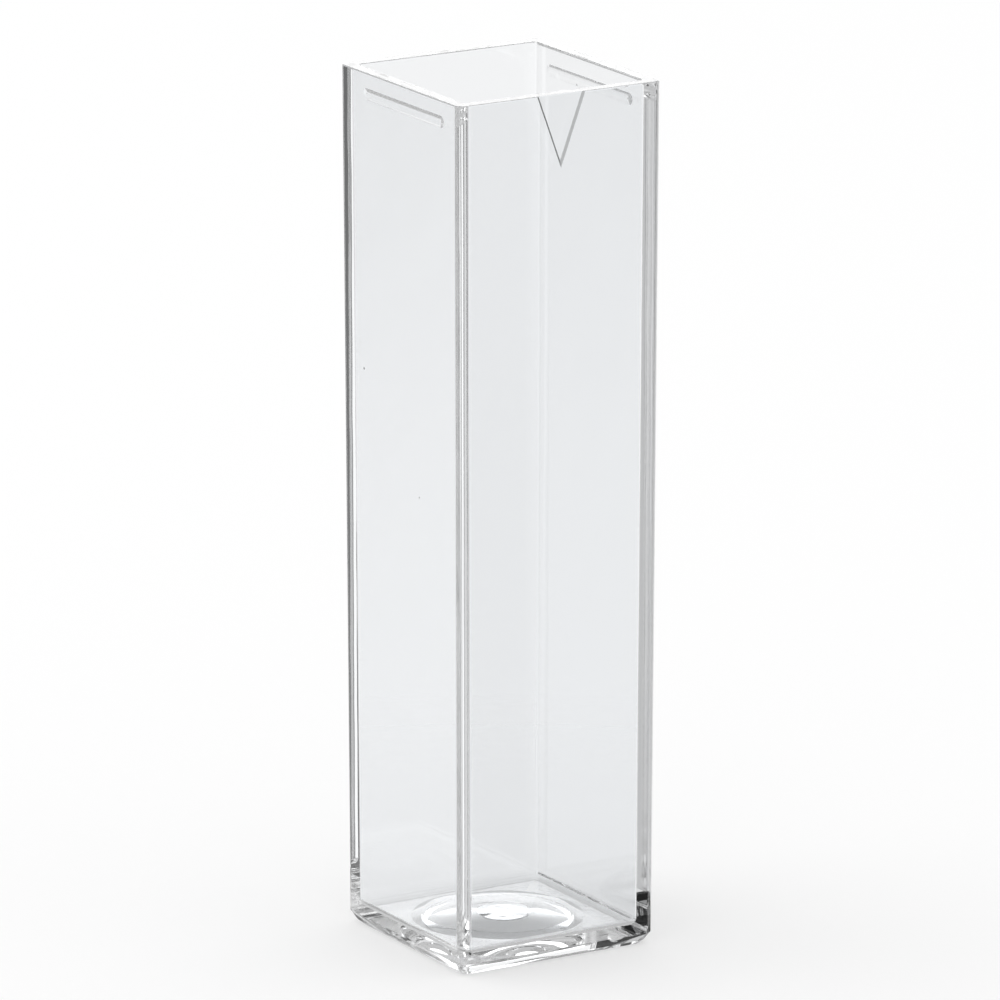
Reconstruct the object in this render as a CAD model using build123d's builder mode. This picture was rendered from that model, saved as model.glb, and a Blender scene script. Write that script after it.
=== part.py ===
from build123d import *
import os
from math import cos, radians, sin, tan

# A square cuvette for a light beam, moulded in one piece from clear plastic.
# Sizes are in millimetres. It stands on its foot at Z = 0, centred on Z, with the mouth on top.
# The pointer mark is on the -Y side, and the beads are inside the -X and +X sides.

# Body
height = 45.0
light_path = 10.0  # clear width inside, at the height of the beam
beam_height = 15.0
wall = 0.78
floor_thickness = 1.0
draft_angle = 0.23  # degrees that each side leans out towards the mouth
corner_radius = 0.45  # upright corners, outside
inside_corner_radius = 0.12
floor_fillet = 0.4  # where the walls meet the floor
rim_outer_round = 0.08
rim_inner_round = 0.15

# Foot, slimmer than the body so that it finds its way into a holder
lead_in_height = 0.65
lead_in_depth = 0.25
foot_bevel = 0.2

# Middle of the floor: domed upwards, hollow beneath, with the pad where the mould was filled
dome_radius = 3.57
dome_rise = 0.55
ramp_radius = 4.13  # foot of the sloped ring round the dome
ramp_rise = 0.2
recess_radius = 3.3
recess_step = 0.12
recess_rise = 0.6
pad_radius = 1.32
pad_drop = 0.15
gate_radius = 0.87
gate_depth = 0.05

# Pointer mark that shows which sides the beam goes through
mark_width = 2.78
mark_height = 3.75
mark_depth = 0.1
mark_side_angle = 50.0

# Beads inside the mouth that hold the part on the mould's core while the mould opens
bead_length = 7.9
bead_width = 0.62
bead_rise = 0.1
bead_below_rim = 1.2


def outside_width(level):
    """Width over the walls at a height above the foot."""
    lean = tan(radians(draft_angle))
    return light_path + 2 * wall + 2 * (level - beam_height) * lean


def inside_width(level):
    """Width between the walls at a height above the foot."""
    return outside_width(level) - 2 * wall


lean_cos = cos(radians(draft_angle))
lean_sin = sin(radians(draft_angle))

# Half of the bead on one side wall: a low arc in section with a round end, rooted in the wall
bead_level = height - bead_below_rim
bead_half = bead_width / 2
bead_root = wall / 2
bead_end = Plane(
    origin=(inside_width(bead_level) / 2, bead_length / 2 - bead_half, bead_level),
    x_dir=(-lean_sin, 0, -lean_cos),
    z_dir=(0, 1, 0),
)
with BuildPart() as bead:
    with BuildSketch(bead_end):
        with BuildLine():
            ThreePointArc((-bead_half, 0), (0, bead_rise), (bead_half, 0))
            Polyline((bead_half, 0), (bead_half, -bead_root), (-bead_half, -bead_root), (-bead_half, 0))
        make_face()
    extrude(amount=bead_half - bead_length / 2)
    with BuildSketch(bead_end):
        with BuildLine():
            TangentArc((0, bead_rise), (-bead_half, 0), tangent=(-1, 0))
            Polyline((-bead_half, 0), (-bead_half, -bead_root), (0, -bead_root), (0, bead_rise))
        make_face()
    revolve(axis=Axis(bead_end.origin, bead_end.y_dir), revolution_arc=180)
    mirror(about=Plane.XZ)

# Core that leaves the cavity, rounded where the walls meet the floor
with BuildPart() as core:
    for level in (floor_thickness, height):
        with BuildSketch(Plane.XY.offset(level)):
            Rectangle(inside_width(level), inside_width(level))
    loft()
    fillet(core.faces().sort_by(Axis.Z)[0].edges(), floor_fillet)
    fillet(core.edges().sort_by(SortBy.LENGTH)[-4:], inside_corner_radius)

with BuildPart() as cuvette:
    # Body, from the foot's bevel and lead-in up to the rim
    body_sections = [
        (0, lead_in_depth + foot_bevel),
        (foot_bevel, lead_in_depth),
        (lead_in_height, 0),
        (height, 0),
    ]
    for level, inset in body_sections:
        width = outside_width(level) - 2 * inset
        with BuildSketch(Plane.XY.offset(level)):
            RectangleRounded(width, width, corner_radius)
    loft(ruled=True)
    add(core.part, mode=Mode.SUBTRACT)
    fillet(cuvette.faces().sort_by(Axis.Z)[-1].outer_wire().edges(), rim_outer_round)
    fillet(cuvette.faces().sort_by(Axis.Z)[-1].inner_wires()[0].edges(), rim_inner_round)

    # Dome in the middle of the floor, with the ramp round it
    dome_top = floor_thickness + dome_rise
    ramp_top = floor_thickness + ramp_rise
    with BuildSketch(Plane.XZ):
        with BuildLine():
            TangentArc((0, dome_top), (dome_radius, ramp_top), tangent=(1, 0))
            Polyline((dome_radius, ramp_top), (ramp_radius, floor_thickness), (0, floor_thickness), (0, dome_top))
        make_face()
    revolve(axis=Axis.Z)

    # Recess beneath it, with the pad and the gate's dimple
    with BuildSketch(Plane.XZ):
        with BuildLine():
            TangentArc((0, recess_rise), (recess_radius, recess_step), tangent=(1, 0))
            Polyline((recess_radius, recess_step), (recess_radius, 0), (0, 0), (0, recess_rise))
        make_face()
    revolve(axis=Axis.Z, mode=Mode.SUBTRACT)
    pad_face = recess_rise - pad_drop
    with BuildSketch(Plane.XY.offset(pad_face)):
        Circle(pad_radius)
    extrude(until=Until.NEXT)
    with BuildSketch(Plane.XY.offset(pad_face)):
        Circle(gate_radius)
    extrude(amount=gate_depth, mode=Mode.SUBTRACT)

    # Pointer mark: a shallow triangle with sloped sides, drawn on past the rim to be open there
    mark_face = Plane(
        origin=(0, -outside_width(height) / 2, height),
        x_dir=(1, 0, 0),
        z_dir=(0, -lean_cos, -lean_sin),
    )
    mark_over = rim_outer_round + mark_depth * tan(radians(mark_side_angle))
    mark_half = mark_width / 2 * (mark_height + mark_over) / mark_height
    with BuildSketch(mark_face):
        with BuildLine():
            Polyline((0, -mark_height), (mark_half, mark_over), (-mark_half, mark_over), close=True)
        make_face()
    extrude(amount=-mark_depth, taper=mark_side_angle, mode=Mode.SUBTRACT)

    # Beads
    add(bead.part)
    mirror(bead.part, about=Plane.YZ)

cuvette.part.label = "cuvette"

os.makedirs("parts", exist_ok=True)
export_step(cuvette.part, "parts/cuvette.step")
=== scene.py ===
import math

import bpy
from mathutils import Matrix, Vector


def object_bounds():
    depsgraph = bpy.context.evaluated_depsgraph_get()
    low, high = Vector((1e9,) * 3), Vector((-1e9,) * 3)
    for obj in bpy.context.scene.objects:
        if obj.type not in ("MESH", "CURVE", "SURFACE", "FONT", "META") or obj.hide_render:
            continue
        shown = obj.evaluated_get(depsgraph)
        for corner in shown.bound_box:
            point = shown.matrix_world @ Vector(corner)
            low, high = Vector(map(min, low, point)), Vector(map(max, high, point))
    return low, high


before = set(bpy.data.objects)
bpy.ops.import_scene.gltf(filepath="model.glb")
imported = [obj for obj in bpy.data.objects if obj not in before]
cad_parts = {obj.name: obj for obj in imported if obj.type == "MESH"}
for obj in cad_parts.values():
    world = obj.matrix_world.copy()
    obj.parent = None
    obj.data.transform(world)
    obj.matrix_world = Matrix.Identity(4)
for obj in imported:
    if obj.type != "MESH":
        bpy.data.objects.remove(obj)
CAD_BOX = [list(corner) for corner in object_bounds()]

bl_info = {
    "name": "Square Cuvette",
    "version": (1, 0, 0),
    "blender": (4, 5, 0),
    "location": "View3D > Sidebar > Cuvette",
    "description": "Dresses a moulded square cuvette and sets a plain studio around it",
    "category": "Object",
}

MM = 0.001
BODY = "cuvette"

# Specks caught in the plastic: where each one lies and its radius, in millimetres
SPECK_COLOUR = "#4A4A4C"
SPECKS = {
    "left face, upper": ((-5.864, 3.59, 29.7), 0.07),
    "left face, lower": ((-5.84, -1.851, 24.2), 0.05),
    "right wall, upper": ((5.9, 1.49, 43.74), 0.07),
    "right wall, lower": ((5.9, 1.29, 43.26), 0.05),
}

# The room that the plastic reflects, a plain level with round cards before it, the later over the earlier.
# Each card has its side, leftwards round from the backdrop, its height above the horizon and its half width,
# all in degrees, and then its level, where 1 is white
ROOM_LEVEL = 0.55
CARDS = {
    "dark ceiling": (0, 90, 56, 0.05),
    "left softbox": (105, 14, 30, 1.2),
    "left softbox, upper lamp": (95, 42, 16, 1.8),
    "right softbox": (-153, 22, 16, 1.7),
    "dark room behind the camera": (180, -12, 14, 0.3),
    "unlit corner": (-119, 0, 22, 0.1),
    "white table edge": (-90, -24, 13, 1.2),
    "white table, left side": (64, -17, 8, 0.75),
    "gap beside the backdrop": (-60, -18, 11, 0.1),
    "backdrop, right side": (-32, -7, 16, 1.05),
    "backdrop, lower half": (0, -14, 13, 0.75),
    "backdrop, upper half": (0, 11, 17, 2.0),
    "black flag": (52, 8, 22, 0.01),
    "dark room above the camera": (180, 32, 20, 0.03),
}
CARD_EDGE = 4  # half the width of a card's soft edge, in degrees
BACKDROP_TURN = math.atan2(0.854, 0.52)  # from the X axis round to the middle of the backdrop

# Small cards that are seen through the plastic and not reflected in it, written as the cards are. Their light
# is refracted at the sloped sides of the pointer mark and draws them as lines. A view that looks along one of
# these two directions shows that flag through the walls as well, so the whole cuvette looks dark in it
FLAGS = {
    "black flag, left edge": (34.5, -27.4, 4.2, 0.0),
    "grey flag, right edge": (-36.5, -23, 3, 0.3),
}
FLAG_EDGE = 0.5

# The floor fades out, for rays that come through the plastic, from the first to the second of these distances
# in millimetres from the middle of the foot
FLOOR_FADE = (30, 45)
FLOOR_COLOUR = "#F3F3F3"
FLOOR_GLOW = 0.5  # share of the floor that is white by itself, so that the shadow stays faint

# Lamp that casts the shadow, in watts and metres
LAMP_POWER = 3.0
LAMP_SIZE = 1.0
LAMP_PLACE = (-0.7, 0.5, 1.0)

# How far the camera aims to the right of the middle and above it, in millimetres
AIM_RIGHT = -0.009
AIM_UP = 0.345

# Light that is guided inside the walls is reflected many times before it leaves them, and it would be black
# if it were cut off earlier
MAX_BOUNCES = 128
TRANSMISSION_BOUNCES = 64


def linear(hex_colour):
    """An sRGB hex colour as linear red, green and blue."""
    channels = [int(hex_colour[i : i + 2], 16) / 255 for i in (1, 3, 5)]
    return [c / 12.92 if c <= 0.04045 else ((c + 0.055) / 1.055) ** 2.4 for c in channels]


def add_node(tree, kind, inputs=None, **settings):
    """Adds a node with its settings; inputs holds a value, or another node's output, for each socket."""
    node = tree.nodes.new(kind)
    for name, value in settings.items():
        setattr(node, name, value)
    for socket, value in (inputs or {}).items():
        if isinstance(value, bpy.types.NodeSocket):
            tree.links.new(value, node.inputs[socket])
        else:
            node.inputs[socket].default_value = value
    return node


class CuvettePlastic(bpy.types.PropertyGroup):
    tint: bpy.props.FloatVectorProperty(
        name="Tint",
        description="Colour of the clear plastic",
        subtype="COLOR",
        size=3,
        min=0,
        max=1,
        default=linear("#FDFEFF"),
    )
    ior: bpy.props.FloatProperty(
        name="IOR", description="Refractive index of polystyrene", default=1.59, min=1.0, max=2.5
    )
    roughness: bpy.props.FloatProperty(
        name="Roughness",
        description="Roughness of the mould's polish",
        subtype="FACTOR",
        default=0.0,
        min=0,
        max=1,
    )
    wave_length: bpy.props.FloatProperty(
        name="Wave Length",
        description="Width in mm of the faint waves in the polish",
        default=5.0,
        min=0.1,
    )
    wave_height: bpy.props.FloatProperty(
        name="Wave Height",
        description="Height in mm of the faint waves in the polish",
        default=0.01,
        min=0,
    )


class CuvetteStage(bpy.types.PropertyGroup):
    azimuth: bpy.props.FloatProperty(
        name="Azimuth",
        description="Side that the camera stands on, round the cuvette from the marked face",
        subtype="ANGLE",
        default=math.radians(-30.85),
    )
    elevation: bpy.props.FloatProperty(
        name="Elevation",
        description="Angle of the camera above the horizon",
        subtype="ANGLE",
        default=math.radians(14.94),
    )
    distance: bpy.props.FloatProperty(
        name="Distance",
        description="Camera to the middle of the cuvette",
        subtype="DISTANCE",
        unit="LENGTH",
        default=0.5,
    )
    lens: bpy.props.FloatProperty(
        name="Lens",
        description="Focal length on a 36 mm sensor",
        subtype="DISTANCE_CAMERA",
        default=356.04,
    )
    floor_size: bpy.props.FloatProperty(
        name="Floor",
        description="Side of the square floor",
        subtype="DISTANCE",
        unit="LENGTH",
        default=3.0,
    )


def place(millimetres):
    """A point given in millimetres, in metres."""
    return [MM * value for value in millimetres]


def make_clear_polystyrene(sizes):
    """General-purpose polystyrene from a polished mould: water clear, so that only its edges draw lines.

    The mould's polish leaves faint waves that make those dark and bright lines a little uneven, and a few
    specks are caught in the walls. It has a very faint cool tint.
    """
    material = bpy.data.materials.new("clear_polystyrene_moulded")
    material.use_nodes = True
    tree = material.node_tree
    tree.nodes.clear()
    surface = add_node(tree, "ShaderNodeTexCoord").outputs["Object"]
    colour = (*sizes.tint, 1)
    for name, (speck, radius) in SPECKS.items():
        away = add_node(
            tree,
            "ShaderNodeVectorMath",
            {0: surface, 1: place(speck)},
            operation="DISTANCE",
            label=name,
        )
        inside = add_node(
            tree,
            "ShaderNodeMath",
            {0: away.outputs["Value"], 1: radius * MM},
            operation="LESS_THAN",
        )
        spotted = add_node(
            tree,
            "ShaderNodeMixRGB",
            {"Fac": inside.outputs[0], "Color1": colour, "Color2": (*linear(SPECK_COLOUR), 1)},
        )
        colour = spotted.outputs[0]
    waves = add_node(
        tree,
        "ShaderNodeTexNoise",
        {"Vector": surface, "Scale": 1 / (sizes.wave_length * MM), "Detail": 1.0},
    )
    polish = add_node(
        tree,
        "ShaderNodeBump",
        {"Strength": 1.0, "Distance": sizes.wave_height * MM, "Height": waves.outputs["Fac"]},
    )
    shader = add_node(
        tree,
        "ShaderNodeBsdfPrincipled",
        {
            "Base Color": colour,
            "Roughness": sizes.roughness,
            "IOR": sizes.ior,
            "Transmission Weight": 1.0,
            "Normal": polish.outputs[0],
        },
    )
    add_node(tree, "ShaderNodeOutputMaterial", {"Surface": shader.outputs["BSDF"]})
    return material


class CUVETTE_OT_plastic(bpy.types.Operator):
    """Gives the moulding its clear plastic"""

    bl_idname = "cuvette.plastic"
    bl_label = "Clear Plastic"

    def execute(self, context):
        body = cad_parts[BODY]
        body.material_slots[0].material = make_clear_polystyrene(context.scene.cuvette_plastic)
        return {"FINISHED"}


def make_floor_material():
    """Matt white card, lit evenly, that keeps a faint shadow.

    The plastic shows it only round the foot and never reflects it, and it can't be seen from below.
    """
    material = bpy.data.materials.new("white_card_matt")
    material.use_nodes = True
    tree = material.node_tree
    tree.nodes.clear()
    card = add_node(tree, "ShaderNodeBsdfDiffuse", {"Color": (*linear(FLOOR_COLOUR), 1)})
    glow = add_node(tree, "ShaderNodeEmission", {"Color": (1, 1, 1, 1), "Strength": 1.0})
    lit = add_node(tree, "ShaderNodeMixShader", {0: FLOOR_GLOW, 1: card.outputs[0], 2: glow.outputs[0]})
    path = add_node(tree, "ShaderNodeLightPath")
    spot = add_node(tree, "ShaderNodeNewGeometry")
    away = add_node(tree, "ShaderNodeVectorMath", {0: spot.outputs["Position"]}, operation="LENGTH")
    far = add_node(
        tree,
        "ShaderNodeMapRange",
        {"Value": away.outputs["Value"], "From Min": FLOOR_FADE[0] * MM, "From Max": FLOOR_FADE[1] * MM},
    )
    through = add_node(
        tree,
        "ShaderNodeMath",
        {0: path.outputs["Is Transmission Ray"], 1: far.outputs[0]},
        operation="MULTIPLY",
    )
    unseen = add_node(
        tree,
        "ShaderNodeMath",
        {0: path.outputs["Glossy Depth"], 1: spot.outputs["Backfacing"]},
        operation="MAXIMUM",
    )
    hidden = add_node(
        tree,
        "ShaderNodeMath",
        {0: through.outputs[0], 1: unseen.outputs[0]},
        operation="MAXIMUM",
        use_clamp=True,
    )
    clear = add_node(tree, "ShaderNodeBsdfTransparent")
    shown = add_node(
        tree,
        "ShaderNodeMixShader",
        {0: hidden.outputs[0], 1: lit.outputs[0], 2: clear.outputs[0]},
    )
    add_node(tree, "ShaderNodeOutputMaterial", {"Surface": shown.outputs[0]})
    return material


def direction(side, height):
    """Unit vector towards a place in the room."""
    turn = BACKDROP_TURN + math.radians(side)
    lift = math.radians(height)
    return (math.cos(turn) * math.cos(lift), math.sin(turn) * math.cos(lift), math.sin(lift))


def hang_cards(tree, towards, level, cards, edge):
    """Sets round cards with soft edges before a plain level, and returns what is seen of both."""
    for name, (side, height, half_width, brightness) in cards.items():
        facing = add_node(
            tree,
            "ShaderNodeVectorMath",
            {0: towards, 1: direction(side, height)},
            operation="DOT_PRODUCT",
            label=name,
        )
        inside = add_node(
            tree,
            "ShaderNodeMapRange",
            {
                "Value": facing.outputs["Value"],
                "From Min": math.cos(math.radians(half_width + edge)),
                "From Max": math.cos(math.radians(half_width - edge)),
            },
            interpolation_type="SMOOTHSTEP",
        )
        card = add_node(tree, "ShaderNodeMix", {"Factor": inside.outputs[0], "A": level, "B": brightness})
        level = card.outputs[0]
    return level


def make_world(context):
    """Studio: white behind the plastic, and cards and dark corners for its reflections."""
    world = bpy.data.worlds.new("studio")
    context.scene.world = world
    world.use_nodes = True
    tree = world.node_tree
    tree.nodes.clear()
    towards = add_node(tree, "ShaderNodeTexCoord").outputs["Generated"]
    path = add_node(tree, "ShaderNodeLightPath")
    cards = hang_cards(tree, towards, ROOM_LEVEL, CARDS, CARD_EDGE)
    flags = hang_cards(tree, towards, 1.0, FLAGS, FLAG_EDGE)
    room = add_node(tree, "ShaderNodeBackground", {"Color": cards})
    behind = add_node(tree, "ShaderNodeBackground", {"Color": flags})
    white = add_node(tree, "ShaderNodeBackground", {"Color": (1, 1, 1, 1)})
    reflected = add_node(
        tree,
        "ShaderNodeMath",
        {0: path.outputs["Glossy Depth"], 1: 0.5},
        operation="GREATER_THAN",
    )
    plastic = add_node(
        tree,
        "ShaderNodeMixShader",
        {0: reflected.outputs[0], 1: behind.outputs[0], 2: room.outputs[0]},
    )
    plain = add_node(
        tree,
        "ShaderNodeMath",
        {0: path.outputs["Is Camera Ray"], 1: path.outputs["Is Diffuse Ray"]},
        operation="MAXIMUM",
    )
    both = add_node(
        tree,
        "ShaderNodeMixShader",
        {0: plain.outputs[0], 1: plastic.outputs[0], 2: white.outputs[0]},
    )
    add_node(tree, "ShaderNodeOutputWorld", {"Surface": both.outputs[0]})


def make_lamp(context):
    """Large soft lamp above the left side, which gives the cuvette its faint shadow."""
    softbox = bpy.data.lights.new("softbox", "AREA")
    softbox.size = LAMP_SIZE
    softbox.energy = LAMP_POWER
    lamp = bpy.data.objects.new("softbox", softbox)
    context.scene.collection.objects.link(lamp)
    lamp.location = LAMP_PLACE
    lamp.rotation_mode = "QUATERNION"
    lamp.rotation_quaternion = lamp.location.to_track_quat("Z", "Y")
    lamp.visible_glossy = False
    lamp.visible_transmission = False


class CUVETTE_OT_stage(bpy.types.Operator):
    """Makes the floor, the light and the camera"""

    bl_idname = "cuvette.stage"
    bl_label = "Studio Stage"

    def execute(self, context):
        stage = context.scene.cuvette_stage
        scene = context.scene
        bpy.ops.mesh.primitive_plane_add(size=stage.floor_size)
        floor = context.object
        floor.name = "floor"
        floor.data.materials.append(make_floor_material())
        make_lamp(context)
        make_world(context)

        height = CAD_BOX[1][2]
        aim = Vector((0, 0, height / 2))
        back = Vector(
            (
                math.sin(stage.azimuth) * math.cos(stage.elevation),
                -math.cos(stage.azimuth) * math.cos(stage.elevation),
                math.sin(stage.elevation),
            )
        )
        right = Vector((math.cos(stage.azimuth), math.sin(stage.azimuth), 0))
        up = back.cross(right)
        aim += (right * AIM_RIGHT + up * AIM_UP) * MM
        camera = bpy.data.objects.new("camera", bpy.data.cameras.new("camera"))
        scene.collection.objects.link(camera)
        camera.data.sensor_width = 36
        camera.data.lens = stage.lens
        camera.location = aim + back * stage.distance
        camera.rotation_mode = "QUATERNION"
        camera.rotation_quaternion = (-back).to_track_quat("-Z", "Y")
        scene.camera = camera
        scene.view_settings.view_transform = "Standard"
        scene.cycles.max_bounces = MAX_BOUNCES
        scene.cycles.glossy_bounces = MAX_BOUNCES
        scene.cycles.transmission_bounces = TRANSMISSION_BOUNCES
        return {"FINISHED"}


class CUVETTE_PT_panel(bpy.types.Panel):
    bl_idname = "CUVETTE_PT_panel"
    bl_label = "Cuvette"
    bl_space_type = "VIEW_3D"
    bl_region_type = "UI"
    bl_category = "Cuvette"

    def draw(self, context):
        for group in (context.scene.cuvette_plastic, context.scene.cuvette_stage):
            box = self.layout.box()
            for name in group.__annotations__:
                box.prop(group, name)
        self.layout.operator("cuvette.plastic")
        self.layout.operator("cuvette.stage")


CLASSES = (CuvettePlastic, CuvetteStage, CUVETTE_OT_plastic, CUVETTE_OT_stage, CUVETTE_PT_panel)


def register():
    for item in CLASSES:
        bpy.utils.register_class(item)
    bpy.types.Scene.cuvette_plastic = bpy.props.PointerProperty(type=CuvettePlastic)
    bpy.types.Scene.cuvette_stage = bpy.props.PointerProperty(type=CuvetteStage)


def unregister():
    del bpy.types.Scene.cuvette_stage
    del bpy.types.Scene.cuvette_plastic
    for item in reversed(CLASSES):
        bpy.utils.unregister_class(item)


def main():
    register()
    bpy.ops.cuvette.plastic()
    bpy.ops.cuvette.stage()


if __name__ == "__main__":
    main()
